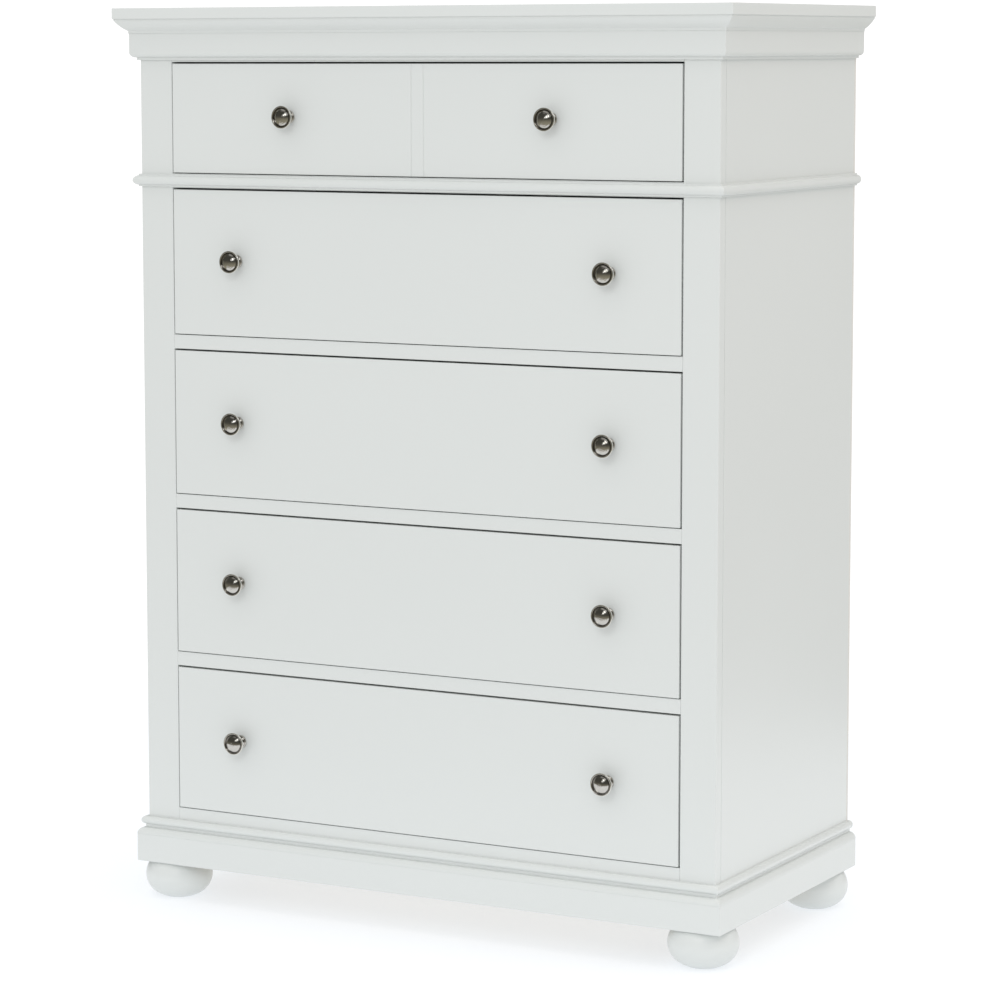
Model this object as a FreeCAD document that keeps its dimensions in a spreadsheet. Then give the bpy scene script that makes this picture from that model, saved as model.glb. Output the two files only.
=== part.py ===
import FreeCAD, Part
import math
import os
import Sketcher
from FreeCAD import Vector

# Five-drawer chest on bun feet.  Millimetres, +Z up, drawers open towards -Y.
# The origin is on the floor, below the centre of the cornice's outline.

DRIVING_SIZES = {
    # overall outline, measured over the slab at the top and down to the floor
    "chest_width": 988,
    "chest_depth": 500,
    "chest_height": 1320,
    "cornice_overhang": 30,
    # case boards
    "top_thickness": 16,
    "side_thickness": 18,
    "back_thickness": 6,
    "frame_thickness": 18,
    "stile_width": 54,
    "rail_height": 20.7,
    "lowest_opening": 140,
    "opening_height": 214.5,
    "top_opening_height": 161.4,
    "bottom_thickness": 12,
    # mouldings
    "crown_height": 20.5,
    "crown_margin": 2,
    "crown_fillet": 3.5,
    "crown_lip": 2.5,
    "crown_step": 0.8,
    "crown_sweep": 45,
    "frieze_thickness": 12,
    "frieze_height": 38.5,
    "frieze_fillet": 4,
    "frieze_step": 1,
    "waist_height": 18,
    "waist_projection": 10,
    "waist_fillet": 2.5,
    "base_moulding_height": 26,
    "base_neck": 3.5,
    "base_bead": 6,
    "base_ledge": 2.5,
    "plinth_height": 41,
    "plinth_thickness": 13,
    # feet
    "foot_height": 55,
    "foot_radius": 50,
    "foot_base_radius": 25,
    "foot_waist": 32,
    "foot_inset": 45,
    "rear_foot_inset": 50,
    "block_length": 60,
    "bolt_radius": 4,
    "bolt_depth": 30,
    "bolt_end_gap": 2,
    # drawers
    "face_thickness": 19,
    "face_proud": 1.5,
    "gap_beside": 2,
    "gap_above": 2.5,
    "gap_below": 1.3,
    "box_thickness": 12,
    "box_length": 400,
    "box_underside": 14,
    "box_headroom": 33.5,
    "tray_thickness": 6,
    "tray_height": 10,
    "divider_half": 9.75,
    "groove_half": 0.9,
    "groove_depth": 1.4,
    # slides
    "slide_gap": 12.7,
    "slide_height": 45,
    "slide_sheet": 1.2,
    "slide_play": 2.3,
    "slide_centre": 74,
    "slide_start": 2,
    "slide_face_gap": 1.5,
    "cleat_height": 50,
    # knobs
    "knob_radius": 16.3,
    "knob_projection": 25.5,
    "top_knob_offset": 210,
    "knob_offset": 300,
    "knob_rise": 2.5,
    "flange_radius": 9.8,
    "flange_height": 3,
    "flange_round": 1.8,
    "stem_radius": 5.5,
    "stem_waist": 6,
    "stem_round": 4.5,
    "neck_round": 11,
    "lip_width": 2,
    "lip_height": 1.5,
    "lip_round": 3,
    "rim_height": 2.4,
    "rim_round": 0.8,
    "rim_width": 1.6,
    "groove_fall": 2.2,
    "groove_slope": 1.4,
    "dome_radius": 12,
    "dome_height": 3.5,
    # small fasteners
    "screw_radius": 2,
    "screw_head": 4,
    "screw_head_height": 2.4,
    "screw_grip": 12,
    "back_screw_length": 24,
    "back_screw_head_height": 1.6,
    "back_screw_margin": 60,
    "bore_play": 0.2,
}

DRAWER_COUNT = 5
TOP_DRAWER = 1
TAIL_PITCH = 40
TAIL_SLOPE = 1 / 6
TAIL_ROOT_SHARE = 0.58
BACK_SCREW_ROWS = 5
CUT_ALLOWANCE = 5

document = FreeCAD.newDocument("chest_of_drawers")
sheet = document.addObject("Spreadsheet::Sheet", "Sizes")
nodes = []


class Size:
    """A length that knows its value and the sheet expression that gives it."""

    def __init__(self, value, text):
        self.value = float(value)
        self.text = text

    def __add__(self, other):
        return join_sizes(self, "+", other)

    def __sub__(self, other):
        return join_sizes(self, "-", other)

    def __mul__(self, other):
        return join_sizes(self, "*", other)

    def __truediv__(self, other):
        return join_sizes(self, "/", other)

    def __neg__(self):
        return join_sizes(0, "-", self)


def as_size(number):
    if isinstance(number, Size):
        return number
    return Size(number, repr(float(number)))


def join_sizes(first, sign, second):
    first = as_size(first)
    second = as_size(second)
    results = {
        "+": first.value + second.value,
        "-": first.value - second.value,
        "*": first.value * second.value,
        "/": first.value / second.value if second.value else 0.0,
    }
    return Size(results[sign], "(" + first.text + " " + sign + " " + second.text + ")")


class SheetSizes:
    """The driving sizes, one attribute for each alias in the sheet."""

    def __init__(self, sizes):
        for row, (alias, number) in enumerate(sizes.items(), start=1):
            sheet.set("A" + str(row), alias)
            sheet.set("B" + str(row), str(number))
            sheet.setAlias("B" + str(row), alias)
            setattr(self, alias, Size(number, "Sizes." + alias))


s = SheetSizes(DRIVING_SIZES)
document.recompute()

# Planes and heights that several pieces share.
case_half = s.chest_width / 2 - s.cornice_overhang
front_y = s.cornice_overhang - s.chest_depth / 2
back_y = s.chest_depth / 2
frame_back_y = front_y + s.frame_thickness
panel_y = back_y - s.back_thickness
panel_x = case_half - s.side_thickness
opening_half = case_half - s.stile_width
under_top = s.chest_height - s.top_thickness
plinth_top = s.foot_height + s.plinth_height
rail_pitch = s.opening_height + s.rail_height
frieze_bottom = under_top - s.crown_height - s.frieze_height
face_y = front_y - s.face_proud
box_front_y = face_y + s.face_thickness
box_half = opening_half - s.slide_gap


def opening_bottom(drawer):
    """Height of the lower edge of a drawer's opening; drawer 1 is at the top."""
    return s.lowest_opening + rail_pitch * (DRAWER_COUNT - drawer)


def opening_size(drawer):
    return s.top_opening_height if drawer == TOP_DRAWER else s.opening_height


# ---------------------------------------------------------------- helpers

def place(item, corner):
    for axis, distance in zip("xyz", corner):
        item.setExpression("Placement.Base." + axis, as_size(distance).text)


def add_box(name, size, corner):
    box = document.addObject("Part::Box", name)
    for side, length in zip(("Length", "Width", "Height"), size):
        box.setExpression(side, as_size(length).text)
    place(box, corner)
    return box


def add_rod(name, radius, length, start):
    """A cylinder that runs from its start towards +Y."""
    rod = document.addObject("Part::Cylinder", name)
    rod.setExpression("Radius", radius.text)
    rod.setExpression("Height", length.text)
    rod.Placement.Rotation = FreeCAD.Rotation(Vector(1, 0, 0), -90)
    place(rod, start)
    return rod


def add_post(name, radius, length, start):
    """A cylinder that stands on its start and runs towards +Z."""
    post = document.addObject("Part::Cylinder", name)
    post.setExpression("Radius", radius.text)
    post.setExpression("Height", length.text)
    place(post, start)
    return post


def add_cut(name, base, tool):
    cut = document.addObject("Part::Cut", name)
    cut.Base = base
    cut.Tool = tool
    return cut


def add_fuse(name, base, tool):
    fuse = document.addObject("Part::Fuse", name)
    fuse.Base = base
    fuse.Tool = tool
    return fuse


def add_group(name, members):
    group = document.addObject("Part::Compound", name)
    group.Links = members
    return group


def add_mirror(source):
    """The same piece on the other side of the chest."""
    mirror = document.addObject("Part::Mirroring", source.Name + "_mirror")
    mirror.Source = source
    mirror.Normal = Vector(1, 0, 0)
    return mirror


def add_pair(name, right_item):
    return add_group(name, [right_item, add_mirror(right_item)])


def keep(item, label):
    """Names an item as one of the chest's sub-parts."""
    item.Label = label
    nodes.append(item)
    return item


def add_body(name):
    return document.addObject("PartDesign::Body", name)


def origin_plane(body, role):
    return next(item for item in body.Origin.OriginFeatures if item.Role == role)


def arc_edge(start, end, radius, turn):
    """An arc of under half a circle: turn 1 is anticlockwise, -1 clockwise."""
    if turn < 0:
        start, end = end, start
    chord = end - start
    height = math.sqrt(max(radius ** 2 - (chord.Length / 2) ** 2, 0.0))
    side = Vector(-chord.y, chord.x, 0) / chord.Length
    centre = (start + end) / 2 + side * height
    first = math.atan2(start.y - centre.y, start.x - centre.x)
    last = math.atan2(end.y - centre.y, end.x - centre.x)
    return Part.ArcOfCircle(Part.Circle(centre, Vector(0, 0, 1), radius), first, last)


def fix_coordinate(sketch, kind, axis, item, point, size):
    """Ties one coordinate of a sketch point to its size."""
    if abs(size.value) < 1e-9:
        sketch.addConstraint(Sketcher.Constraint("PointOnObject", item, point, axis))
        return
    index = sketch.addConstraint(Sketcher.Constraint(kind, -1, 1, item, point, size.value))
    sketch.setExpression("Constraints[" + str(index) + "]", size.text)


def add_sketch(body, role, outline, offset=None):
    """A closed outline on an origin plane.

    Each step of the outline is (x, y) or (x, y, radius, turn): the last two say that an arc,
    not a line, leads to this point from the one before.
    """
    sketch = body.newObject("Sketcher::SketchObject", body.Name + "_sketch")
    sketch.AttachmentSupport = [(origin_plane(body, role), "")]
    sketch.MapMode = "FlatFace"
    if offset is not None:
        sketch.setExpression("AttachmentOffset.Base.z", offset.text)
    points = [(as_size(step[0]), as_size(step[1])) for step in outline]
    ends = []
    for index, step in enumerate(outline):
        before = Vector(points[index - 1][0].value, points[index - 1][1].value, 0)
        here = Vector(points[index][0].value, points[index][1].value, 0)
        if len(step) == 2:
            item = sketch.addGeometry(Part.LineSegment(before, here))
            ends.append((item, 1, 2))
        else:
            radius = as_size(step[2])
            item = sketch.addGeometry(arc_edge(before, here, radius.value, step[3]))
            ends.append((item, 1, 2) if step[3] > 0 else (item, 2, 1))
            constraint = sketch.addConstraint(Sketcher.Constraint("Radius", item, radius.value))
            sketch.setExpression("Constraints[" + str(constraint) + "]", radius.text)
    for index, (item, first, last) in enumerate(ends):
        following = ends[(index + 1) % len(ends)]
        sketch.addConstraint(Sketcher.Constraint("Coincident", item, last, following[0], following[1]))
        fix_coordinate(sketch, "DistanceX", -2, item, last, points[index][0])
        fix_coordinate(sketch, "DistanceY", -1, item, last, points[index][1])
    return sketch


def add_pad(body, sketch, length, side="One side"):
    pad = body.newObject("PartDesign::Pad", body.Name + "_pad")
    pad.Profile = sketch
    pad.SideType = side
    pad.setExpression("Length", length.text)
    return pad


def add_pocket(body, sketch):
    """Cuts all the way through along the sketch's normal, and checks that something went."""
    before = body.Shape.Volume
    pocket = body.newObject("PartDesign::Pocket", body.Name + "_pocket")
    pocket.Profile = sketch
    pocket.Type = "ThroughAll"
    pocket.Reversed = True
    document.recompute()
    if body.Shape.Volume >= before:
        raise RuntimeError(body.Name + ": the pocket cut nothing")
    return pocket


def add_turning(name, outline):
    """A turned piece, from half its section as (radius, height), on the Z axis."""
    body = add_body(name)
    sketch = add_sketch(body, "XZ_Plane", outline)
    turning = body.newObject("PartDesign::Revolution", name + "_turning")
    turning.Profile = sketch
    turning.ReferenceAxis = (sketch, ["V_Axis"])
    turning.Angle = 360
    return body


# ---------------------------------------------------------------- mouldings

def moulding_front(name, profile, reach):
    """The front length of a moulding, mitred at both ends.

    A profile step is (overhang, height) or (overhang, height, radius, turn), with the overhang
    measured outwards from the case.  The front length is cut from -X to +X, so its sketch runs
    the other way round and each arc turns the other way.
    """
    body = add_body(name)
    outline = [(front_y - step[0], step[1]) + mirrored_arc(step) for step in profile]
    sketch = add_sketch(body, "YZ_Plane", outline)
    add_pad(body, sketch, (case_half + reach) * 2, "Symmetric")
    document.recompute()
    spare = reach + CUT_ALLOWANCE
    for side in (1, -1):
        corner = [
            ((case_half - CUT_ALLOWANCE) * side, front_y + CUT_ALLOWANCE),
            ((case_half + spare) * side, front_y - spare),
            ((case_half + spare) * side, front_y + CUT_ALLOWANCE),
        ]
        add_pocket(body, add_sketch(body, "XY_Plane", corner))
    return body


def mirrored_arc(step):
    if len(step) == 2:
        return ()
    return (step[2], -step[3])


def moulding_side(name, profile, reach):
    """The right-hand length of a moulding: mitred at the front, square at the back."""
    body = add_body(name)
    outline = [(case_half + step[0], step[1]) + tuple(step[2:]) for step in profile]
    sketch = add_sketch(body, "XZ_Plane", outline, -back_y)
    add_pad(body, sketch, back_y - front_y + reach)
    document.recompute()
    spare = reach + CUT_ALLOWANCE
    corner = [
        (case_half - CUT_ALLOWANCE, front_y + CUT_ALLOWANCE),
        (case_half - CUT_ALLOWANCE, front_y - spare),
        (case_half + spare, front_y - spare),
    ]
    add_pocket(body, add_sketch(body, "XY_Plane", corner))
    return body


def moulding_lengths(name, profile, reach):
    """The three mitred lengths that wrap the front and the two sides."""
    side = moulding_side(name + "_side", profile, reach)
    return [moulding_front(name + "_front", profile, reach), side, add_mirror(side)]


def crown_profile():
    """Shallow ovolo between two fillets, under the slab."""
    bottom = under_top - s.crown_height
    inner = s.frieze_thickness + s.crown_step
    outer = s.cornice_overhang - s.crown_margin
    lip_bottom = under_top - s.crown_lip
    return [
        (0, bottom),
        (inner, bottom),
        (inner, bottom + s.crown_fillet),
        (outer - s.crown_step, lip_bottom, s.crown_sweep, 1),
        (outer, lip_bottom),
        (outer, under_top),
        (0, under_top),
    ]


def frieze_profile():
    """Flat board whose lower edge is rounded over a small fillet."""
    round_start = s.frieze_fillet + s.frieze_step
    ovolo = s.frieze_thickness - round_start
    step_height = frieze_bottom + s.frieze_fillet
    frieze_top = under_top - s.crown_height
    return [
        (0, frieze_bottom),
        (s.frieze_fillet, frieze_bottom),
        (s.frieze_fillet, step_height),
        (round_start, step_height),
        (s.frieze_thickness, step_height + ovolo, ovolo, 1),
        (s.frieze_thickness, frieze_top),
        (0, frieze_top),
    ]


def waist_profile():
    """Half-round bead between two fillets, centred on the rail under the top drawer."""
    middle = opening_bottom(TOP_DRAWER) - s.rail_height / 2
    half = s.waist_height / 2
    bead = half - s.waist_fillet
    ledge = s.waist_projection - bead
    return [
        (0, middle - half),
        (ledge, middle - half),
        (ledge, middle - bead),
        (s.waist_projection, middle, bead, 1),
        (ledge, middle + bead, bead, 1),
        (ledge, middle + half),
        (0, middle + half),
    ]


def base_profile():
    """Bead on top, a neck, then a quarter round down to the plinth's face."""
    top = plinth_top + s.base_moulding_height
    ovolo = s.plinth_thickness - s.base_neck
    bead = s.base_bead
    return [
        (0, plinth_top),
        (s.plinth_thickness, plinth_top),
        (s.base_neck, plinth_top + ovolo, ovolo, 1),
        (s.base_neck, top - bead * 2),
        (s.base_ledge, top - bead * 2),
        (s.base_ledge + bead, top - bead, bead, 1),
        (s.base_ledge, top, bead, 1),
        (0, top),
    ]


def plinth_profile():
    return [
        (0, s.foot_height),
        (s.plinth_thickness, s.foot_height),
        (s.plinth_thickness, plinth_top),
        (0, plinth_top),
    ]


def build_mouldings():
    crown = moulding_lengths("crown", crown_profile(), s.cornice_overhang)
    keep(add_group("Crown", crown), "crown_moulding")
    frieze = moulding_lengths("frieze", frieze_profile(), s.frieze_thickness)
    keep(add_group("Frieze", frieze), "frieze_moulding")
    waist = moulding_lengths("waist", waist_profile(), s.waist_projection)
    keep(add_group("Waist", waist), "waist_moulding")
    base = moulding_lengths("base", base_profile(), s.plinth_thickness)
    keep(add_group("Base", base), "base_moulding")
    plinth = moulding_lengths("plinth", plinth_profile(), s.plinth_thickness)
    rear_size = (panel_x * 2, s.side_thickness, s.plinth_height)
    rear_rail = add_box("PlinthRear", rear_size, (-panel_x, panel_y - s.side_thickness, s.foot_height))
    keep(add_group("Plinth", plinth + [rear_rail]), "plinth_boards")


# ---------------------------------------------------------------- case

def build_face_frame():
    stile_size = (s.stile_width, s.frame_thickness, under_top - s.foot_height)
    keep(add_box("StileLeft", stile_size, (-case_half, front_y, s.foot_height)), "stile_left")
    keep(add_box("StileRight", stile_size, (opening_half, front_y, s.foot_height)), "stile_right")
    top_edge = opening_bottom(TOP_DRAWER) + s.top_opening_height
    top_size = (opening_half * 2, s.frame_thickness, under_top - top_edge)
    keep(add_box("RailTop", top_size, (-opening_half, front_y, top_edge)), "rail_top")
    rail_size = (opening_half * 2, s.frame_thickness, s.rail_height)
    rails = []
    for drawer in range(TOP_DRAWER, DRAWER_COUNT):
        height = opening_bottom(drawer) - s.rail_height
        rails.append(add_box("Rail" + str(drawer), rail_size, (-opening_half, front_y, height)))
    keep(add_group("Rails", rails), "drawer_rails")
    bottom_size = (opening_half * 2, s.frame_thickness, s.lowest_opening - plinth_top)
    keep(add_box("RailBottom", bottom_size, (-opening_half, front_y, plinth_top)), "rail_bottom")


def back_screw_places():
    """Height and side of each screw that holds the back panel to the side panels."""
    first = plinth_top + s.back_screw_margin
    step = (under_top - first - s.back_screw_margin) / (BACK_SCREW_ROWS - 1)
    for row in range(BACK_SCREW_ROWS):
        for side in (1, -1):
            yield (case_half - s.side_thickness / 2) * side, first + step * row


def back_screw(name, play, x, z):
    """A flat-headed screw, or with some play the bore that it sits in."""
    shank_length = s.back_screw_length + play
    shank_start = (x, back_y - shank_length, z)
    shank = add_rod(name + "Shank", s.screw_radius + play, shank_length, shank_start)
    head_start = (x, back_y - s.back_screw_head_height, z)
    head = add_rod(name + "Head", s.screw_head + play, s.back_screw_head_height, head_start)
    return add_fuse(name, shank, head)


def build_case_panels():
    screws = []
    bores = []
    for index, (x, z) in enumerate(back_screw_places()):
        screws.append(back_screw("BackScrew" + str(index), as_size(0), x, z))
        bores.append(back_screw("BackBore" + str(index), s.bore_play, x, z))
    bore_group = add_group("BackBores", bores)
    side_size = (s.side_thickness, panel_y - frame_back_y, under_top - s.foot_height)
    right = add_box("SideBoard", side_size, (panel_x, frame_back_y, s.foot_height))
    left = add_box("SideBoardLeft", side_size, (-case_half, frame_back_y, s.foot_height))
    keep(add_cut("SideRight", right, bore_group), "side_panel_right")
    keep(add_cut("SideLeft", left, bore_group), "side_panel_left")
    back_size = (case_half * 2, s.back_thickness, under_top - plinth_top)
    back = add_box("BackBoard", back_size, (-case_half, panel_y, plinth_top))
    keep(add_cut("Back", back, bore_group), "back_panel")
    keep(add_group("BackScrews", screws), "back_screws")
    bottom_size = (panel_x * 2, panel_y - frame_back_y, s.bottom_thickness)
    keep(add_box("Bottom", bottom_size, (-panel_x, frame_back_y, plinth_top)), "bottom_board")
    top_size = (s.chest_width, s.chest_depth, s.top_thickness)
    keep(add_box("Top", top_size, (s.chest_width / -2, s.chest_depth / -2, under_top)), "top_board")


# ---------------------------------------------------------------- feet

foot_x = case_half + s.plinth_thickness - s.foot_inset
front_foot_y = front_y - s.plinth_thickness + s.foot_inset
rear_foot_y = back_y - s.rear_foot_inset


def foot_outline():
    """Half section of a bun foot: one round side, flat below and above, bored for its bolt."""
    rise = s.foot_waist
    run = s.foot_radius - s.foot_base_radius
    side_radius = (rise * rise + run * run) / (run * 2)
    above = s.foot_height - s.foot_waist
    reach = math.sqrt(side_radius.value ** 2 - above.value ** 2)
    root = "sqrt(" + (side_radius * side_radius - above * above).text + ")"
    top_radius = s.foot_radius - side_radius + Size(reach, root)
    bore = s.bolt_radius + s.bore_play
    bore_floor = s.foot_height - s.bolt_depth
    return [
        (0, 0),
        (s.foot_base_radius, 0),
        (s.foot_radius, s.foot_waist, side_radius, 1),
        (top_radius, s.foot_height, side_radius, 1),
        (bore, s.foot_height),
        (bore, bore_floor),
        (0, bore_floor),
    ]


def build_feet():
    places = {
        "front_left": (-foot_x, front_foot_y),
        "front_right": (foot_x, front_foot_y),
        "rear_left": (-foot_x, rear_foot_y),
        "rear_right": (foot_x, rear_foot_y),
    }
    bolts = []
    blocks = []
    bolt_length = s.bolt_depth + s.plinth_height - s.bolt_end_gap * 2
    bore_radius = s.bolt_radius + s.bore_play
    for corner, (x, y) in places.items():
        foot = add_turning("Foot_" + corner, foot_outline())
        place(foot, (x, y, 0))
        keep(foot, "foot_" + corner)
        bolt_start = (x, y, s.foot_height - s.bolt_depth + s.bolt_end_gap)
        bolts.append(add_post("Bolt_" + corner, s.bolt_radius, bolt_length, bolt_start))
        block_x = panel_x - s.block_length if x.value > 0 else -panel_x
        block_y = frame_back_y if y.value < 0 else panel_y - s.side_thickness - s.block_length
        block_size = (s.block_length, s.block_length, s.plinth_height)
        block = add_box("Block_" + corner, block_size, (block_x, block_y, s.foot_height))
        bore = add_post("BlockBore_" + corner, bore_radius, s.plinth_height, (x, y, s.foot_height))
        blocks.append(add_cut("BoredBlock_" + corner, block, bore))
    keep(add_group("FootBolts", bolts), "foot_bolts")
    keep(add_group("CornerBlocks", blocks), "corner_blocks")


# ---------------------------------------------------------------- slides

def add_channel(name, web_x, tip_x, half_height, middle):
    """A C-shaped steel member on the right-hand side, open towards the drawer or away from it."""
    outer_x = web_x if web_x.value < tip_x.value else tip_x
    width = tip_x - web_x if web_x.value < tip_x.value else web_x - tip_x
    start_y = box_front_y + s.slide_start
    outer_size = (width, slide_length, half_height * 2)
    outer = add_box(name + "Outer", outer_size, (outer_x, start_y, middle - half_height))
    hollow_x = web_x + s.slide_sheet if web_x.value < tip_x.value else tip_x
    hollow_size = (width - s.slide_sheet, slide_length, (half_height - s.slide_sheet) * 2)
    hollow_corner = (hollow_x, start_y, middle - half_height + s.slide_sheet)
    hollow = add_box(name + "Hollow", hollow_size, hollow_corner)
    return add_cut(name, outer, hollow)


slide_length = s.box_length - s.slide_start
member_gap = s.slide_play + s.slide_sheet
web_step = s.slide_sheet + s.slide_face_gap


def build_slides(drawer):
    """Case member, middle member and drawer member of one pair of slides."""
    tag = "Slide" + str(drawer)
    middle = opening_bottom(drawer) + s.slide_centre
    half = s.slide_height / 2
    inner_x = box_half + web_step
    outer_x = opening_half - web_step
    case_member = add_channel(tag + "Case", opening_half, inner_x, half, middle)
    middle_member = add_channel(tag + "Middle", outer_x, inner_x, half - member_gap, middle)
    drawer_tip = outer_x - web_step
    drawer_member = add_channel(tag + "Drawer", box_half, drawer_tip, half - member_gap * 2, middle)
    keep(add_pair(tag + "Middles", middle_member), "slide_" + str(drawer) + "_middle")
    keep(add_pair(tag + "Drawers", drawer_member), "drawer_" + str(drawer) + "_slides")
    return case_member


def build_case_slides(case_members):
    pieces = []
    for member in case_members:
        pieces.extend([member, add_mirror(member)])
    keep(add_group("CaseSlides", pieces), "case_slides")
    cleats = []
    cleat_size = (panel_x - opening_half, panel_y - frame_back_y, s.cleat_height)
    for drawer in range(TOP_DRAWER, DRAWER_COUNT + 1):
        height = opening_bottom(drawer) + s.slide_centre - s.cleat_height / 2
        cleat = add_box("Cleat" + str(drawer), cleat_size, (opening_half, frame_back_y, height))
        cleats.extend([cleat, add_mirror(cleat)])
    keep(add_group("Cleats", cleats), "slide_cleats")


# ---------------------------------------------------------------- drawers

def tail_steps(y_end, y_shoulder, bottom, height, upwards):
    """The dovetail tails at one end of a box side, as outline points going up or down."""
    count = max(2, round(height.value / TAIL_PITCH))
    pitch = height / count
    flare = s.box_thickness * TAIL_SLOPE
    half_root = pitch * (TAIL_ROOT_SHARE / 2)
    steps = []
    for index in range(count):
        middle = bottom + pitch * (index + 0.5)
        steps.extend([
            (y_shoulder, middle - half_root),
            (y_end, middle - half_root - flare),
            (y_end, middle + half_root + flare),
            (y_shoulder, middle + half_root),
        ])
    return steps if upwards else steps[::-1]


def add_box_side(tag, bottom, height):
    """The right-hand side of a drawer box, with tails at both ends."""
    body = add_body(tag + "Side")
    back_end = box_front_y + s.box_length
    front_shoulder = box_front_y + s.box_thickness
    back_shoulder = back_end - s.box_thickness
    outline = [(front_shoulder, bottom), (back_shoulder, bottom)]
    outline += tail_steps(back_end, back_shoulder, bottom, height, True)
    outline += [(back_shoulder, bottom + height), (front_shoulder, bottom + height)]
    outline += tail_steps(box_front_y, front_shoulder, bottom, height, False)
    sketch = add_sketch(body, "YZ_Plane", outline, box_half - s.box_thickness)
    add_pad(body, sketch, s.box_thickness)
    return body


def knob_outline():
    """Half section of a knob: flange, waisted stem, grooved rim and low dome, bored behind."""
    bore = s.screw_radius + s.bore_play
    bore_end = s.screw_grip + 1
    rim_front = s.knob_projection - s.dome_height
    rim_back = rim_front - s.rim_height
    groove_floor = rim_front - s.groove_fall
    dome_edge = rim_front - s.rim_round
    dome_rise = s.knob_projection - dome_edge
    dome_sphere = (s.dome_radius * s.dome_radius + dome_rise * dome_rise) / (dome_rise * 2)
    rim_inside = s.knob_radius - s.rim_width
    return [
        (bore, 0),
        (s.flange_radius, 0),
        (s.flange_radius, s.flange_height - s.flange_round),
        (s.flange_radius - s.flange_round, s.flange_height, s.flange_round, 1),
        (s.stem_radius, s.stem_waist, s.stem_round, -1),
        (s.knob_radius - s.lip_width, rim_back - s.lip_height, s.neck_round, -1),
        (s.knob_radius, rim_back, s.lip_round, 1),
        (s.knob_radius, rim_front - s.rim_round),
        (s.knob_radius - s.rim_round, rim_front, s.rim_round, 1),
        (rim_inside, rim_front),
        (rim_inside - s.groove_slope, groove_floor),
        (s.dome_radius, groove_floor),
        (s.dome_radius, dome_edge),
        (0, s.knob_projection, dome_sphere, 1),
        (0, bore_end),
        (bore, bore_end),
    ]


def add_knob(tag, x, z):
    """One knob, its flange against the drawer's face and its head towards -Y."""
    knob = add_turning(tag + "Knob", knob_outline())
    knob.Placement.Rotation = FreeCAD.Rotation(Vector(1, 0, 0), 90)
    place(knob, (x, face_y, z))
    return knob


def add_knob_screw(tag, x, z):
    """The machine screw that comes from inside the drawer into the knob."""
    wall = s.face_thickness + s.box_thickness
    shank_length = wall + s.screw_grip
    shank = add_rod(tag + "Shank", s.screw_radius, shank_length, (x, face_y - s.screw_grip, z))
    head = add_rod(tag + "Head", s.screw_head, s.screw_head_height, (x, face_y + wall, z))
    return add_fuse(tag + "Screw", shank, head)


def add_face(tag, bottom, height):
    """A drawer's flat front; the wide top one has two grooves that suggest a divider."""
    body = add_body(tag + "Face")
    face_half = opening_half - s.gap_beside
    low = bottom + s.gap_below
    high = bottom + height - s.gap_above
    outline = [(-face_half, low), (face_half, low), (face_half, high), (-face_half, high)]
    sketch = add_sketch(body, "XZ_Plane", outline, -box_front_y)
    add_pad(body, sketch, s.face_thickness)
    document.recompute()
    if tag == "Drawer" + str(TOP_DRAWER):
        for side in (1, -1):
            groove = [
                (s.divider_half * side - s.groove_half, face_y),
                (s.divider_half * side + s.groove_half, face_y),
                (s.divider_half * side, face_y + s.groove_depth),
            ]
            add_pocket(body, add_sketch(body, "XY_Plane", groove))
    return body


def build_drawer(drawer):
    tag = "Drawer" + str(drawer)
    name = "drawer_" + str(drawer)
    bottom = opening_bottom(drawer)
    height = opening_size(drawer)
    box_bottom = bottom + s.box_underside
    box_height = height - s.box_underside - s.box_headroom
    knob_x = s.top_knob_offset if drawer == TOP_DRAWER else s.knob_offset
    knob_z = bottom + height / 2 + s.knob_rise

    knob = add_knob(tag, knob_x, knob_z)
    screw = add_knob_screw(tag, knob_x, knob_z)
    wall = s.face_thickness + s.box_thickness
    bore = add_rod(tag + "Bore", s.screw_radius + s.bore_play, wall, (knob_x, face_y, knob_z))
    bores = add_pair(tag + "Bores", bore)
    keep(add_cut(tag + "BoredFace", add_face(tag, bottom, height), bores), name + "_front")

    tray_half = box_half - s.box_thickness / 2
    tray_size = (tray_half * 2, s.box_length - s.box_thickness, s.tray_thickness)
    tray_corner = (-tray_half, box_front_y + s.box_thickness / 2, box_bottom + s.tray_height)
    tray = add_box(tag + "Tray", tray_size, tray_corner)
    sides = add_pair(tag + "Sides", add_box_side(tag, box_bottom, box_height))
    keep(add_cut(tag + "GroovedSides", sides, tray), name + "_box_sides")

    end_size = (box_half * 2, s.box_thickness, box_height)
    front_end = add_box(tag + "FrontEnd", end_size, (-box_half, box_front_y, box_bottom))
    back_end_y = box_front_y + s.box_length - s.box_thickness
    back_end = add_box(tag + "BackEnd", end_size, (-box_half, back_end_y, box_bottom))
    sockets = add_group(tag + "Sockets", [sides, tray, bores])
    ends = add_group(tag + "Ends", [front_end, back_end])
    keep(add_cut(tag + "JointedEnds", ends, sockets), name + "_box_ends")
    keep(tray, name + "_bottom")
    keep(add_group(tag + "Knobs", [knob, add_mirror(knob), screw, add_mirror(screw)]), name + "_knobs")


# ---------------------------------------------------------------- whole chest

def check_document():
    for item in document.Objects:
        if "Invalid" in item.State or "Error" in item.State:
            raise RuntimeError(item.Label + ": " + ", ".join(item.State))


def check_shape(item):
    if item.Shape.isNull() or not item.Shape.isValid():
        raise RuntimeError(item.Label + ": its shape is null or not valid")
    if not item.Shape.Solids:
        raise RuntimeError(item.Label + ": it has no solid")


build_face_frame()
build_case_panels()
build_mouldings()
build_feet()
drawers = range(TOP_DRAWER, DRAWER_COUNT + 1)
build_case_slides([build_slides(drawer) for drawer in drawers])
for drawer in drawers:
    build_drawer(drawer)

document.recompute()
check_document()
for node in nodes:
    check_shape(node)

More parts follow.
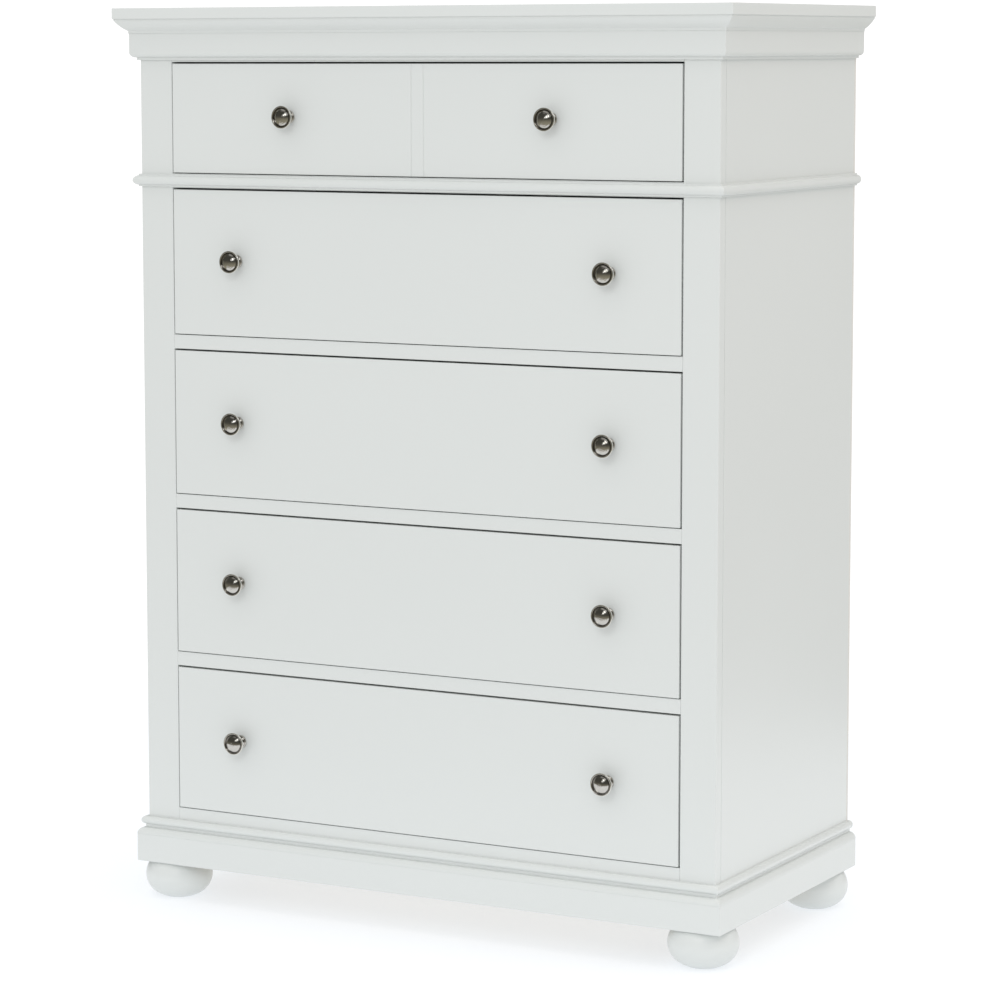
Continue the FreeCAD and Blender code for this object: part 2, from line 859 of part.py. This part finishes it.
os.makedirs("parts", exist_ok=True)
for node in nodes:
    node.Shape.exportStep(os.path.join("parts", node.Label + ".step"))
    box = node.Shape.BoundBox
    print(node.Label, len(node.Shape.Solids), "solids,", round(node.Shape.Volume), "mm3,",
          [round(box.XMin, 1), round(box.XMax, 1), round(box.YMin, 1), round(box.YMax, 1),
           round(box.ZMin, 1), round(box.ZMax, 1)])
print(len(nodes), "sub-parts")
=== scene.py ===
import math

import bmesh
import bpy
from mathutils import Matrix, Vector


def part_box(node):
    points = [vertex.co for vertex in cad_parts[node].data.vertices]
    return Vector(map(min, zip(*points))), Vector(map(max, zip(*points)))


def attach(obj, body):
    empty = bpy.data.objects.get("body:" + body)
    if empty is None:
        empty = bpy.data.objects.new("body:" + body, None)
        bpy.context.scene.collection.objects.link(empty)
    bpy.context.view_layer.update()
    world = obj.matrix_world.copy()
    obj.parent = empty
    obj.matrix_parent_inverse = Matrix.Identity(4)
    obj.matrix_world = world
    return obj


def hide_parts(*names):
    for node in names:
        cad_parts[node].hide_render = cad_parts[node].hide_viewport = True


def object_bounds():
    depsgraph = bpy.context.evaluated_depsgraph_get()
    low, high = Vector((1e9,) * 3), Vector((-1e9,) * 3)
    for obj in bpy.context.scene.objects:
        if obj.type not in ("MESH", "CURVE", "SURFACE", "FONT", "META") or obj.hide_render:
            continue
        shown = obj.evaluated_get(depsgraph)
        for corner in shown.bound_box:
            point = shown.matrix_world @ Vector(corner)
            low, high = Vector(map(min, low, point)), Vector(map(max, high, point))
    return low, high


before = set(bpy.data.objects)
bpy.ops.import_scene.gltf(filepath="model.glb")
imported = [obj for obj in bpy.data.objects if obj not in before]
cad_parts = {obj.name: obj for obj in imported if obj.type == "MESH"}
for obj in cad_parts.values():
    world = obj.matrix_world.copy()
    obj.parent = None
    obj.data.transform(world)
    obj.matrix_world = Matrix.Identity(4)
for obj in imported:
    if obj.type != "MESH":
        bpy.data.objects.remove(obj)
cad_low, cad_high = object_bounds()

# Looks of a painted five-drawer chest on bun feet.  Metres; the drawers open towards -Y.

MM = 0.001
DRAWERS = range(1, 6)
TURNING_STEPS = 128
ARC_STEPS = 14

# Planes of the case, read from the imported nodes.
case_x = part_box("side_panel_right")[1].x
case_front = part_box("stile_right")[0].y
case_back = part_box("back_panel")[1].y


# ---------------------------------------------------------------- node helpers

class Nodes:
    """Short names for building one material's node tree."""

    def __init__(self, name):
        self.material = bpy.data.materials.new(name)
        self.material.use_nodes = True
        self.tree = self.material.node_tree
        self.shader = self.tree.nodes["Principled BSDF"]

    def add(self, kind, **settings):
        node = self.tree.nodes.new("ShaderNode" + kind)
        for key, value in settings.items():
            setattr(node, key, value)
        return node

    def link(self, source, target):
        self.tree.links.new(source, target)

    def fill(self, socket, value):
        if isinstance(value, bpy.types.NodeSocket):
            self.link(value, socket)
        else:
            socket.default_value = value

    def coords(self, stretch=(1, 1, 1)):
        """Object coordinates in metres, stretched along each axis."""
        source = self.add("TexCoord").outputs["Object"]
        mapping = self.add("Mapping")
        self.link(source, mapping.inputs["Vector"])
        mapping.inputs["Scale"].default_value = stretch
        return mapping.outputs["Vector"]

    def noise(self, vector, scale, detail=2.0, roughness=0.5, distortion=0.0):
        node = self.add("TexNoise")
        self.link(vector, node.inputs["Vector"])
        node.inputs["Scale"].default_value = scale
        node.inputs["Detail"].default_value = detail
        node.inputs["Roughness"].default_value = roughness
        node.inputs["Distortion"].default_value = distortion
        return node.outputs["Fac"]

    def math(self, operation, first, second=0.0):
        node = self.add("Math", operation=operation)
        self.fill(node.inputs[0], first)
        self.fill(node.inputs[1], second)
        return node.outputs["Value"]

    def spread(self, value, low, high):
        """Maps 0..1 to low..high."""
        node = self.add("MapRange")
        self.link(value, node.inputs["Value"])
        node.inputs["To Min"].default_value = low
        node.inputs["To Max"].default_value = high
        return node.outputs["Result"]

    def band(self, value, low, high):
        """Maps low..high to 0..1, clamped."""
        node = self.add("MapRange")
        self.link(value, node.inputs["Value"])
        node.inputs["From Min"].default_value = low
        node.inputs["From Max"].default_value = high
        return node.outputs["Result"]

    def ramp(self, value, stops):
        node = self.add("ValToRGB")
        self.link(value, node.inputs["Fac"])
        elements = node.color_ramp.elements
        while len(elements) < len(stops):
            elements.new(0.5)
        for element, (position, colour) in zip(elements, stops):
            element.position = position
            element.color = (*colour, 1.0)
        return node.outputs["Color"]

    def mix(self, share, first, second):
        node = self.add("Mix", data_type="RGBA")
        self.fill(node.inputs["Factor"], share)
        for socket, colour in ((node.inputs[6], first), (node.inputs[7], second)):
            self.fill(socket, colour if isinstance(colour, bpy.types.NodeSocket) else (*colour, 1.0))
        return node.outputs[2]

    def bump(self, height, distance, before=None):
        node = self.add("Bump")
        node.inputs["Distance"].default_value = distance
        self.link(height, node.inputs["Height"])
        if before is not None:
            self.link(before, node.inputs["Normal"])
        return node.outputs["Normal"]

    def finish(self, colour, roughness, normal, metallic=0.0, specular=0.5):
        self.fill(self.shader.inputs["Base Color"], colour)
        self.fill(self.shader.inputs["Roughness"], roughness)
        self.link(normal, self.shader.inputs["Normal"])
        self.shader.inputs["Metallic"].default_value = metallic
        self.shader.inputs["Specular IOR Level"].default_value = specular
        return self.material


def grain_stretch(axis, along, across):
    """Texture scales that draw a pattern out along the grain."""
    return tuple(along if index == "XYZ".index(axis) else across for index in range(3))


# ---------------------------------------------------------------- materials

def satin_paint(name, axis, colour):
    """Sprayed satin paint over wood: fine orange peel, and the grain just showing through."""
    n = Nodes(name)
    place = n.coords()
    drawn = n.coords(grain_stretch(axis, 6, 130))
    cloud = n.noise(place, 2.5, 3.0)
    shade = n.mix(cloud, tuple(c * 0.985 for c in colour), tuple(c * 1.01 for c in colour))
    peel = n.noise(place, 420, 2.0, 0.55)
    dust = n.noise(place, 2600, 1.0)
    grain = n.noise(drawn, 1.6, 3.0, 0.6, 0.4)
    surface = n.bump(grain, 0.06 * MM)
    surface = n.bump(peel, 0.035 * MM, surface)
    surface = n.bump(dust, 0.006 * MM, surface)
    roughness = n.spread(n.math("ADD", n.math("MULTIPLY", peel, 0.5), n.math("MULTIPLY", cloud, 0.5)), 0.28, 0.4)
    return n.finish(shade, roughness, surface, specular=0.5)


def lacquered_wood(name, axis, pale, dark, gloss=0.42):
    """Straight-grained wood: wandering growth rings, fine pores, darker end grain."""
    n = Nodes(name)
    place = n.coords()
    broad = n.coords(grain_stretch(axis, 0.5, 9))
    fine = n.coords(grain_stretch(axis, 12, 600))
    wander = n.noise(broad, 1.2, 3.0, 0.55, 0.8)
    rings = n.math("FRACT", n.math("MULTIPLY", wander, 11.0))
    soft_rings = n.math("PINGPONG", rings, 0.5)
    pores = n.noise(fine, 1.0, 4.0, 0.7)
    cloud = n.noise(place, 5.0, 2.0)
    tone = n.math("ADD", n.math("MULTIPLY", soft_rings, 0.7), n.math("MULTIPLY", pores, 0.55))
    tone = n.math("ADD", tone, n.math("MULTIPLY", cloud, 0.35))
    colour = n.ramp(n.band(tone, 0.2, 1.15), [(0.0, pale), (1.0, dark)])
    normal = n.add("SeparateXYZ")
    n.link(n.add("TexCoord").outputs["Normal"], normal.inputs["Vector"])
    facing = n.math("ABSOLUTE", normal.outputs[axis])
    end_grain = tuple(c * 0.72 for c in dark)
    colour = n.mix(n.band(facing, 0.75, 0.95), colour, end_grain)
    surface = n.bump(pores, 0.05 * MM)
    surface = n.bump(soft_rings, 0.03 * MM, surface)
    roughness = n.spread(pores, gloss - 0.06, gloss + 0.14)
    return n.finish(colour, roughness, surface)


def back_board_paint(name):
    """Thin paint on fibreboard: flecked, with short fibres raised."""
    n = Nodes(name)
    place = n.coords()
    fibres = n.noise(n.coords((900, 900, 240)), 1.0, 4.0, 0.7, 1.5)
    flecks = n.noise(place, 90, 4.0, 0.7)
    cloud = n.noise(place, 3, 3.0)
    tone = n.math("ADD", n.math("MULTIPLY", flecks, 0.6), n.math("MULTIPLY", cloud, 0.4))
    colour = n.ramp(n.band(tone, 0.3, 0.7), [(0.0, (0.66, 0.65, 0.61)), (1.0, (0.72, 0.715, 0.68))])
    surface = n.bump(fibres, 0.08 * MM)
    return n.finish(colour, n.spread(fibres, 0.6, 0.8), surface)


def spun_nickel(name):
    """Polished warm nickel with faint turning lines round the knob's own axis; painted shade darkens the groove
    round the dome and a painted highlight lightens the rim.
    """
    n = Nodes(name)
    place = n.coords()
    axes = n.add("SeparateXYZ")
    n.link(place, axes.inputs["Vector"])
    radius_squared = n.math("ADD", n.math("POWER", axes.outputs["X"], 2.0), n.math("POWER", axes.outputs["Z"], 2.0))
    radius = n.math("SQRT", radius_squared)
    lines = n.math("SINE", n.math("MULTIPLY", radius, 14000.0))
    uneven = n.noise(place, 320, 3.0, 0.6)
    tarnish = n.noise(place, 60, 3.0, 0.6)
    colour = n.mix(n.band(tarnish, 0.35, 0.75), (0.58, 0.56, 0.525), (0.48, 0.455, 0.42))
    # painted shade: the groove round the dome is coloured dark (0.20, 0.19, 0.18) in place of the shade that falls
    # in it
    groove = n.math("MULTIPLY", n.band(radius, 12.0 * MM, 12.4 * MM), n.band(radius, 14.2 * MM, 13.8 * MM))
    colour = n.mix(groove, colour, (0.20, 0.19, 0.18))
    # painted highlight: a pale band from 14.0 to 14.6 mm out stands in for the light caught on the rim
    colour = n.mix(n.band(radius, 14.0 * MM, 14.6 * MM), colour, (0.80, 0.78, 0.74))
    surface = n.bump(n.math("MULTIPLY", lines, uneven), 0.006 * MM)
    return n.finish(colour, n.spread(uneven, 0.09, 0.17), surface, metallic=1.0)


def zinc_plate(name, low, high, colour):
    """Zinc on rolled steel: streaks along Y and a faint spangle."""
    n = Nodes(name)
    streaks = n.noise(n.coords((900, 25, 900)), 1.0, 3.0, 0.6)
    spangle = n.add("TexVoronoi")
    n.link(n.coords(), spangle.inputs["Vector"])
    spangle.inputs["Scale"].default_value = 260
    tone = n.math("MULTIPLY", spangle.outputs["Distance"], 0.6)
    shade = n.mix(tone, colour, tuple(c * 0.8 for c in colour))
    surface = n.bump(streaks, 0.02 * MM)
    return n.finish(shade, n.spread(streaks, low, high), surface, metallic=1.0)


def floor_paint(name):
    """Studio floor: a matt white sweep that glows as painted light, though it is no lamp, so shadows on it stay
    pale; the glow is tinted faintly blue and a little stronger in a band round the chest.
    """
    n = Nodes(name)
    mottle = n.noise(n.coords(), 1.5, 4.0)
    shade = n.mix(mottle, (0.37, 0.37, 0.37), (0.39, 0.39, 0.39))
    surface = n.bump(n.noise(n.coords(), 300, 3.0), 0.05 * MM)
    # painted light: the floor's faintly blue emission lifts the shade under the chest and lights the chest's lower
    # parts
    n.shader.inputs["Emission Color"].default_value = (0.965, 1.0, 1.04, 1.0)
    axes = n.add("SeparateXYZ")
    n.link(n.coords(), axes.inputs["Vector"])
    outside = [n.math("SUBTRACT", n.math("ABSOLUTE", axes.outputs[axis]), half)
               for axis, half in (("X", cad_high.x), ("Y", cad_high.y))]
    distance = n.math("MAXIMUM", *outside)
    # painted light: the glow is 0.02 stronger in a band from the chest's edge out to half a metre, fading out by
    # 1.5 m
    near = n.math("MULTIPLY", n.band(distance, -0.03, 0.12), n.band(distance, 1.5, 0.5))
    glow = n.math("ADD", n.math("MULTIPLY", near, 0.02), 0.63)
    n.link(glow, n.shader.inputs["Emission Strength"])
    return n.finish(shade, n.spread(mottle, 0.85, 0.95), surface, specular=0.1)


WHITE = (0.705, 0.727, 0.712)
paint = {axis: satin_paint("satin_paint_" + axis.lower(), axis, WHITE) for axis in "XYZ"}
box_pale = (0.74, 0.55, 0.34)
box_dark = (0.55, 0.36, 0.19)
box_side_wood = lacquered_wood("box_side_wood", "Y", box_pale, box_dark)
box_end_wood = lacquered_wood("box_end_wood", "X", box_pale, box_dark)
panel_wood = lacquered_wood("panel_wood", "X", (0.72, 0.56, 0.37), (0.60, 0.43, 0.26), 0.5)
raw_wood = lacquered_wood("raw_wood", "Y", (0.74, 0.66, 0.53), (0.62, 0.52, 0.39), 0.7)
block_wood = lacquered_wood("block_wood", "X", (0.74, 0.66, 0.53), (0.62, 0.52, 0.39), 0.7)
fibreboard = back_board_paint("fibreboard")
nickel = spun_nickel("spun_nickel")
slide_steel = zinc_plate("slide_steel", 0.22, 0.42, (0.62, 0.63, 0.65))
screw_steel = zinc_plate("screw_steel", 0.3, 0.5, (0.55, 0.55, 0.53))


# ---------------------------------------------------------------- shape helpers

def soften(item, width, angle=35):
    """Eases every arris of a piece and keeps its flat faces flat."""
    if width > 0:
        bevel = item.modifiers.new("ease", "BEVEL")
        bevel.width = width
        bevel.segments = 3
        bevel.limit_method = "ANGLE"
        bevel.angle_limit = math.radians(angle)
    normals = item.modifiers.new("normals", "WEIGHTED_NORMAL")
    normals.keep_sharp = True


def dress(node, material, ease=0.5 * MM):
    """Gives a CAD node its finish and eased edges."""
    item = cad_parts[node]
    item.data.materials.clear()
    item.data.materials.append(material)
    for polygon in item.data.polygons:
        polygon.use_smooth = True
        polygon.material_index = 0
    weld = item.modifiers.new("weld", "WELD")
    weld.merge_threshold = 0.005 * MM
    soften(item, ease)
    return item


def new_piece(name, mesh, material, body):
    item = bpy.data.objects.new(name, mesh)
    bpy.context.scene.collection.objects.link(item)
    mesh.materials.append(material)
    for polygon in mesh.polygons:
        polygon.use_smooth = True
    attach(item, body)
    return item


def arc_points(start, end, radius, turn, steps=ARC_STEPS):
    """Points after start, up to and with end, on an arc: turn 1 is anticlockwise, -1 clockwise."""
    start = Vector(start)
    end = Vector(end)
    chord = end - start
    height = math.sqrt(max(radius ** 2 - (chord.length / 2) ** 2, 0.0))
    side = Vector((-chord.y, chord.x)).normalized() * turn
    centre = (start + end) / 2 + side * height
    spoke = start - centre
    sweep = 2 * math.asin(min(1.0, chord.length / 2 / radius)) * turn
    points = []
    for step in range(1, steps + 1):
        angle = sweep * step / steps
        turned = Matrix.Rotation(angle, 2) @ spoke
        points.append(tuple(centre + turned))
    return points


def trace(steps):
    """Turns (x, y) and (x, y, radius, turn) steps into plain points, in metres."""
    points = []
    for step in steps:
        here = (step[0] * MM, step[1] * MM)
        if len(step) == 2:
            points.append(here)
        else:
            points.extend(arc_points(points[-1], here, step[2] * MM, step[3]))
    return points


def turned_mesh(name, half_section, steps=TURNING_STEPS):
    """Spins (radius, height) points round Z.  Points on the axis become single vertices."""
    mesh = bpy.data.meshes.new(name)
    bm = bmesh.new()
    rings = []
    for radius, height in half_section:
        if radius < 1e-7:
            rings.append([bm.verts.new((0, 0, height))])
            continue
        ring = []
        for step in range(steps):
            angle = 2 * math.pi * step / steps
            ring.append(bm.verts.new((radius * math.cos(angle), radius * math.sin(angle), height)))
        rings.append(ring)
    for below, above in zip(rings, rings[1:]):
        for step in range(steps):
            following = (step + 1) % steps
            corners = [below[step % len(below)], below[following % len(below)],
                       above[following % len(above)], above[step % len(above)]]
            bm.faces.new(list(dict.fromkeys(corners)))
    bmesh.ops.recalc_face_normals(bm, faces=bm.faces)
    bm.to_mesh(mesh)
    bm.free()
    return mesh


# ---------------------------------------------------------------- mouldings

def moulding_mesh(name, profile):
    """A moulding that wraps the left side, the front and the right side, mitred at the corners.

    The profile is a closed list of (overhang, height); at each corner of the case the overhang
    goes out in both directions.
    """
    path = [
        (Vector((-case_x, case_back)), Vector((-1, 0))),
        (Vector((-case_x, case_front)), Vector((-1, -1))),
        (Vector((case_x, case_front)), Vector((1, -1))),
        (Vector((case_x, case_back)), Vector((1, 0))),
    ]
    mesh = bpy.data.meshes.new(name)
    bm = bmesh.new()
    sections = []
    for corner, outwards in path:
        section = []
        for overhang, height in profile:
            spot = corner + outwards * overhang
            section.append(bm.verts.new((spot.x, spot.y, height)))
        sections.append(section)
    count = len(profile)
    for near, far in zip(sections, sections[1:]):
        for index in range(count):
            following = (index + 1) % count
            bm.faces.new((near[index], near[following], far[following], far[index]))
    bm.faces.new(sections[0])
    bm.faces.new(sections[-1][::-1])
    bmesh.ops.recalc_face_normals(bm, faces=bm.faces)
    bm.to_mesh(mesh)
    bm.free()
    return mesh


def overhang_of(node):
    return (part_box(node)[1].x - case_x) / MM


def add_moulding(node, steps, ease):
    piece = new_piece(node + "_run", moulding_mesh(node, trace(steps)), paint["X"], "carcass")
    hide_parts(node)
    soften(piece, ease)
    return piece


def crown_steps():
    low, high = (corner.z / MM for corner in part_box("crown_moulding"))
    inner = overhang_of("frieze_moulding") + 0.8
    outer = overhang_of("crown_moulding")
    return [
        (0, low),
        (inner, low),
        (inner, low + 3.5),
        (outer - 0.5, high - 2.5, 45, 1),
        (outer, high - 2.5),
        (outer, high),
        (0, high),
    ]


def frieze_steps():
    low, high = (corner.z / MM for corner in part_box("frieze_moulding"))
    outer = overhang_of("frieze_moulding")
    ovolo = outer - 5
    return [
        (0, low),
        (4, low),
        (4, low + 4),
        (5, low + 4),
        (outer, low + 4 + ovolo, ovolo, 1),
        (outer, high),
        (0, high),
    ]


def waist_steps():
    low, high = (corner.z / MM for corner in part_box("waist_moulding"))
    outer = overhang_of("waist_moulding")
    bead = (high - low) / 2 - 2.5
    ledge = outer - bead
    middle = (low + high) / 2
    return [
        (0, low),
        (ledge, low),
        (ledge, middle - bead),
        (outer, middle, bead, 1),
        (ledge, middle + bead, bead, 1),
        (ledge, high),
        (0, high),
    ]


def base_steps():
    low, high = (corner.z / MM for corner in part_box("base_moulding"))
    outer = overhang_of("base_moulding")
    neck = 3.5
    ledge = 2.5
    bead = 6
    ovolo = outer - neck
    return [
        (0, low),
        (outer, low),
        (neck, low + ovolo, ovolo, 1),
        (neck, high - bead * 2),
        (ledge, high - bead * 2),
        (ledge + bead, high - bead, bead, 1),
        (ledge, high, bead, 1),
        (0, high),
    ]


def plinth_steps():
    low, high = (corner.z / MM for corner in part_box("plinth_boards"))
    outer = overhang_of("plinth_boards")
    return [(0, low), (outer, low), (outer, high), (0, high)]


def section_mesh(name, outline, low, high):
    """A board whose (x, y) outline runs straight up from one height to another."""
    mesh = bpy.data.meshes.new(name)
    bm = bmesh.new()
    below = [bm.verts.new((x, y, low)) for x, y in outline]
    above = [bm.verts.new((x, y, high)) for x, y in outline]
    count = len(outline)
    for index in range(count):
        following = (index + 1) % count
        bm.faces.new((below[index], below[following], above[following], above[index]))
    bm.faces.new(below[::-1])
    bm.faces.new(above)
    bmesh.ops.recalc_face_normals(bm, faces=bm.faces)
    bm.to_mesh(mesh)
    bm.free()
    return mesh


def add_rear_rail():
    """The plain rail that closes the plinth between the rear feet."""
    low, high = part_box("plinth_boards")
    half = -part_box("bottom_board")[0].x
    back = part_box("bottom_board")[1].y
    front = back - (case_x - half)
    outline = [(-half, front), (half, front), (half, back), (-half, back)]
    piece = new_piece("plinth_rear_rail", section_mesh("plinth_rear_rail", outline, low.z, high.z),
                      paint["X"], "carcass")
    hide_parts("plinth_boards")
    soften(piece, 0.6 * MM)


add_moulding("crown_moulding", crown_steps(), 0.4 * MM)
add_moulding("frieze_moulding", frieze_steps(), 0.4 * MM)
add_moulding("waist_moulding", waist_steps(), 0.4 * MM)
add_moulding("base_moulding", base_steps(), 0.4 * MM)
add_moulding("plinth_boards", plinth_steps(), 0.6 * MM)
add_rear_rail()


# ---------------------------------------------------------------- drawer fronts

def groove_outline(middle, front):
    """One V groove across the face, as outline points."""
    half = 0.9 * MM
    depth = 1.4 * MM
    return [(middle - half, front), (middle, front + depth), (middle + half, front)]


def add_drawer_front(drawer):
    node = "drawer_" + str(drawer) + "_front"
    low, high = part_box(node)
    outline = [(low.x, low.y)]
    if drawer == 1:
        divider_half = 9.75 * MM
        outline += groove_outline(-divider_half, low.y) + groove_outline(divider_half, low.y)
    outline += [(high.x, low.y), (high.x, high.y), (low.x, high.y)]
    mesh = section_mesh(node + "_board", outline, low.z, high.z)
    piece = new_piece(node + "_board", mesh, paint["X"], "drawer_" + str(drawer))
    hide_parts(node)
    soften(piece, 0.8 * MM)


for drawer in DRAWERS:
    add_drawer_front(drawer)


# ---------------------------------------------------------------- feet

def foot_points():
    """Half section of a bun foot, in metres."""
    low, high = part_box("foot_front_left")
    radius = (high.x - low.x) / 2 / MM
    height = (high.z - low.z) / MM
    base = 25
    waist = 32
    side = (waist ** 2 + (radius - base) ** 2) / (2 * (radius - base))
    top = radius - side + math.sqrt(side ** 2 - (height - waist) ** 2)
    arris = 1.2
    return trace([
        (0, 0),
        (base - arris, 0),
        (base + 0.6, 0.8, 2.0, 1),
        (radius, waist, side, 1),
        (top, height, side, 1),
        (0, height),
    ])


def add_feet():
    mesh = turned_mesh("bun_foot", foot_points())
    for corner in ("front_left", "front_right", "rear_left", "rear_right"):
        node = "foot_" + corner
        low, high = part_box(node)
        foot = bpy.data.objects.new(node + "_bun", mesh)
        bpy.context.scene.collection.objects.link(foot)
        foot.location = ((low.x + high.x) / 2, (low.y + high.y) / 2, low.z)
        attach(foot, "carcass")
        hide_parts(node)
        soften(foot, 0)
    mesh.materials.append(paint["Z"])
    for polygon in mesh.polygons:
        polygon.use_smooth = True


add_feet()


# ---------------------------------------------------------------- knobs

def knob_points(projection, radius):
    """Half section of a knob: flange, waisted stem, grooved rim and a low dome with spun rings."""
    flange = 9.8
    stem = 5.5
    dome_height = 3.5
    dome = 12.0
    rim_front = projection - dome_height
    rim_back = rim_front - 2.4
    rim_inside = radius - 1.6
    floor = rim_front - 2.2
    edge = rim_front - 0.8
    rise = projection - edge
    sphere = (dome ** 2 + rise ** 2) / (2 * rise)
    points = trace([
        (0, 0),
        (flange - 0.3, 0),
        (flange, 0.3, 0.3, 1),
        (flange, 1.2),
        (flange - 1.8, 3, 1.8, 1),
        (stem, 6, 4.5, -1),
        (radius - 2, rim_back - 1.5, 11, -1),
        (radius, rim_back, 3, 1),
        (radius, rim_front - 0.8),
        (radius - 0.8, rim_front, 0.8, 1),
        (rim_inside, rim_front),
        (rim_inside - 0.4, rim_front - 0.3, 0.5, 1),
        (rim_inside - 1.4, floor),
        (dome, floor),
    ])
    rings = 6
    steps = 120
    for step in range(steps + 1):
        out = dome * (1 - step / steps)
        height = projection - sphere + math.sqrt(sphere ** 2 - out ** 2)
        share = out / dome
        ridge = 0.05 * math.cos(2 * math.pi * rings * share) if 0.15 < share < 0.93 else 0.0
        points.append((out * MM, (height + ridge) * MM))
    return points


def add_knobs():
    low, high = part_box("drawer_1_knobs")
    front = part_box("drawer_1_front")[0].y
    radius = (high.z - low.z) / 2
    mesh = turned_mesh("knob", knob_points((front - low.y) / MM, radius / MM))
    mesh.transform(Matrix.Rotation(math.radians(90), 4, "X"))
    mesh.materials.append(nickel)
    for polygon in mesh.polygons:
        polygon.use_smooth = True
    for drawer in DRAWERS:
        node = "drawer_" + str(drawer) + "_knobs"
        low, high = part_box(node)
        for side, place in (("left", low.x + radius), ("right", high.x - radius)):
            knob = bpy.data.objects.new("drawer_" + str(drawer) + "_knob_" + side, mesh)
            bpy.context.scene.collection.objects.link(knob)
            knob.location = (place, front, (low.z + high.z) / 2)
            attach(knob, "drawer_" + str(drawer))
            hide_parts(node)
            soften(knob, 0)


add_knobs()


# ---------------------------------------------------------------- carried-over nodes

for node in ("stile_left", "stile_right"):
    dress(node, paint["Z"], 0.9 * MM)
for node in ("rail_top", "drawer_rails", "rail_bottom"):
    dress(node, paint["X"], 0.6 * MM)
for node in ("side_panel_left", "side_panel_right"):
    dress(node, paint["Z"], 0.5 * MM)
dress("top_board", paint["X"], 1.2 * MM)
dress("back_panel", fibreboard, 0.4 * MM)
dress("bottom_board", raw_wood)
dress("corner_blocks", block_wood, 0.8 * MM)
dress("slide_cleats", raw_wood, 0.8 * MM)
dress("back_screws", screw_steel, 0.15 * MM)
dress("foot_bolts", screw_steel, 0.4 * MM)
dress("case_slides", slide_steel, 0.25 * MM)
for drawer in DRAWERS:
    name = "drawer_" + str(drawer)
    dress(name + "_box_sides", box_side_wood, 0.25 * MM)
    dress(name + "_box_ends", box_end_wood, 0.25 * MM)
    dress(name + "_bottom", panel_wood, 0.2 * MM)
    dress(name + "_slides", slide_steel, 0.25 * MM)
    dress("slide_" + str(drawer) + "_middle", slide_steel, 0.25 * MM)


# ---------------------------------------------------------------- studio

def add_floor():
    """A sheet of floor that ends a little way out, where it is as white as the tent behind it."""
    side = cad_high.x + 0.9
    front = cad_low.y - 0.8
    back = cad_high.y + 1.2
    mesh = bpy.data.meshes.new("floor")
    corners = [(-side, front, 0), (side, front, 0), (side, back, 0), (-side, back, 0)]
    mesh.from_pydata(corners, [], [(0, 1, 2, 3)])
    floor = bpy.data.objects.new("floor", mesh)
    bpy.context.scene.collection.objects.link(floor)
    mesh.materials.append(floor_paint("floor_paint"))


def mixed(tree, share, first, second):
    """Mixes two colours, given as numbers or as sockets."""
    mix = tree.nodes.new("ShaderNodeMix")
    mix.data_type = "RGBA"
    tree.links.new(share, mix.inputs["Factor"])
    for socket, colour in ((mix.inputs[6], first), (mix.inputs[7], second)):
        if isinstance(colour, tuple):
            socket.default_value = (*colour, 1.0)
        else:
            tree.links.new(colour, socket)
    return mix.outputs[2]


def add_world():
    """A white tent: the camera sees it plain white, and mirrors see the dark studio through it."""
    world = bpy.data.worlds.new("studio")
    bpy.context.scene.world = world
    world.use_nodes = True
    tree = world.node_tree
    background = tree.nodes["Background"]
    path = tree.nodes.new("ShaderNodeLightPath")
    axes = tree.nodes.new("ShaderNodeSeparateXYZ")
    tree.links.new(tree.nodes.new("ShaderNodeTexCoord").outputs["Generated"], axes.inputs["Vector"])
    height = tree.nodes.new("ShaderNodeMapRange")
    height.inputs["From Min"].default_value = -0.5
    height.inputs["From Max"].default_value = 0.1
    tree.links.new(axes.outputs["Z"], height.inputs["Value"])
    room = mixed(tree, height.outputs["Result"], (0.38, 0.36, 0.28), (0.07, 0.07, 0.06))
    tent = mixed(tree, path.outputs["Is Glossy Ray"], (0.90, 0.90, 0.90), room)
    seen = mixed(tree, path.outputs["Is Camera Ray"], tent, (1.1, 1.1, 1.1))
    tree.links.new(seen, background.inputs["Color"])


def add_area_light(name, place, target, size, power, colour):
    data = bpy.data.lights.new(name, "AREA")
    data.shape = "RECTANGLE"
    data.size, data.size_y = size
    data.energy = power
    data.color = colour
    light = bpy.data.objects.new(name, data)
    bpy.context.scene.collection.objects.link(light)
    light.location = place
    aim = Vector(target) - Vector(place)
    light.rotation_mode = "QUATERNION"
    light.rotation_quaternion = aim.to_track_quat("-Z", "Y")


def add_overhead_sun():
    """Very soft light from straight above: it whitens the floor and leaves a shadow under the chest."""
    data = bpy.data.lights.new("overhead", "SUN")
    data.energy = 0.5
    data.angle = math.radians(70)
    light = bpy.data.objects.new("overhead", data)
    bpy.context.scene.collection.objects.link(light)
    light.location = (0, 0, 4)


def add_camera():
    place = Vector((2.4305, -4.5387, 1.261))
    yaw = math.radians(29.42)
    pitch = math.radians(-6.56)
    roll = math.radians(-0.16)
    ahead = Vector((-math.sin(yaw) * math.cos(pitch), math.cos(yaw) * math.cos(pitch), math.sin(pitch)))
    level = Vector((math.cos(yaw), math.sin(yaw), 0))
    above = level.cross(ahead)
    right = level * math.cos(roll) + above * math.sin(roll)
    up = above * math.cos(roll) - level * math.sin(roll)
    data = bpy.data.cameras.new("camera")
    data.sensor_width = 36
    data.lens = 128.7
    data.shift_x = 0.079
    data.shift_y = -0.04
    data.dof.use_dof = False
    camera = bpy.data.objects.new("camera", data)
    bpy.context.scene.collection.objects.link(camera)
    camera.matrix_world = Matrix((right, up, -ahead)).transposed().to_4x4()
    camera.location = place
    bpy.context.scene.camera = camera


add_floor()
add_world()
middle = (cad_low + cad_high) / 2
add_area_light("key", (0.9, -3.6, 2.6), middle, (1.5, 1.2), 20, (0.98, 1.0, 1.0))
add_area_light("side_fill", (2.6, 0.1, 3.0), middle, (1.6, 1.6), 13, (1.0, 0.87, 0.76))
add_overhead_sun()
add_camera()
bpy.context.scene.view_settings.view_transform = "Standard"
